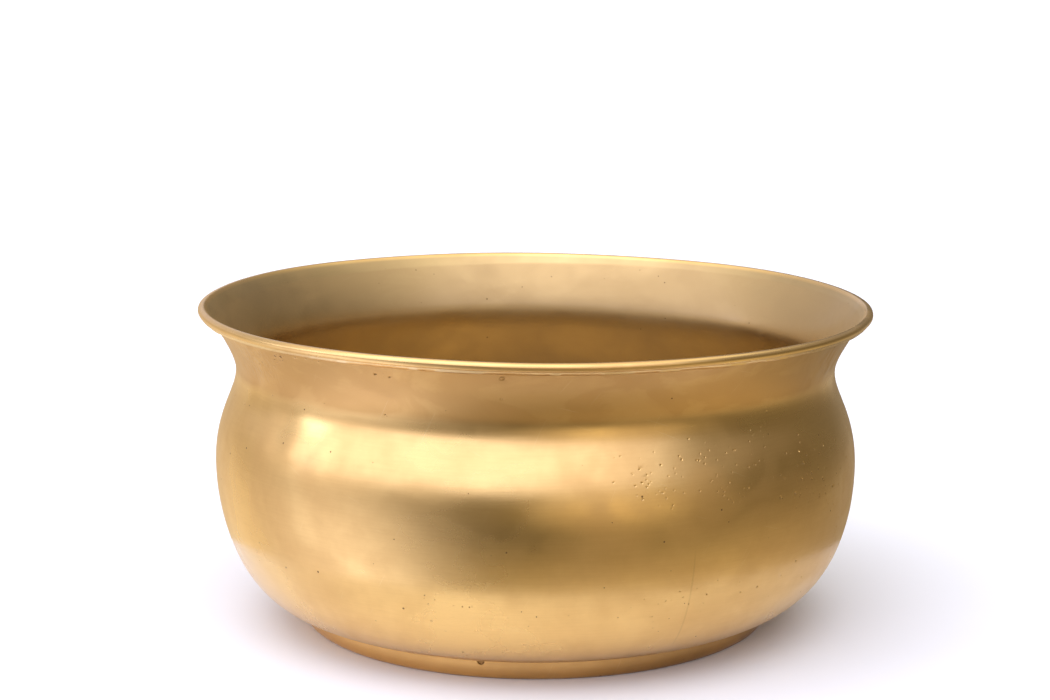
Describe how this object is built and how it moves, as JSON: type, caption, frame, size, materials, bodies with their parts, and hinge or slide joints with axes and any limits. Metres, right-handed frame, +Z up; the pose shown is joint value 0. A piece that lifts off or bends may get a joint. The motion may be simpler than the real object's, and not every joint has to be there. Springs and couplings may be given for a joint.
{
  "type": "ice bucket",
  "caption": "Round brass ice and bottle tub with a full belly, a narrow waist and a flared lip rolled over a wire, standing on a low foot ring.",
  "frame": {"origin": "centre of the flat that the foot ring stands on", "axes": "+Z up along the bowl's axis, +X to the right when the tub is looked at along +Y"},
  "size_m": [0.4799, 0.48, 0.228],
  "materials": {
    "bowl_brass": "satin, hand polished, lightly tarnished",
    "foot_brass": "satin, darker towards the floor",
    "braze": "filed smooth, pitted",
    "wire_steel": "drawn"
  },
  "bodies": {
    "root": {"bowl": "bowl_brass", "rim_wire": "wire_steel", "rim_solder": "braze", "foot_ring": "foot_brass", "foot_solder_outer": "braze", "foot_solder_inner": "braze"}
  },
  "joints": []
}
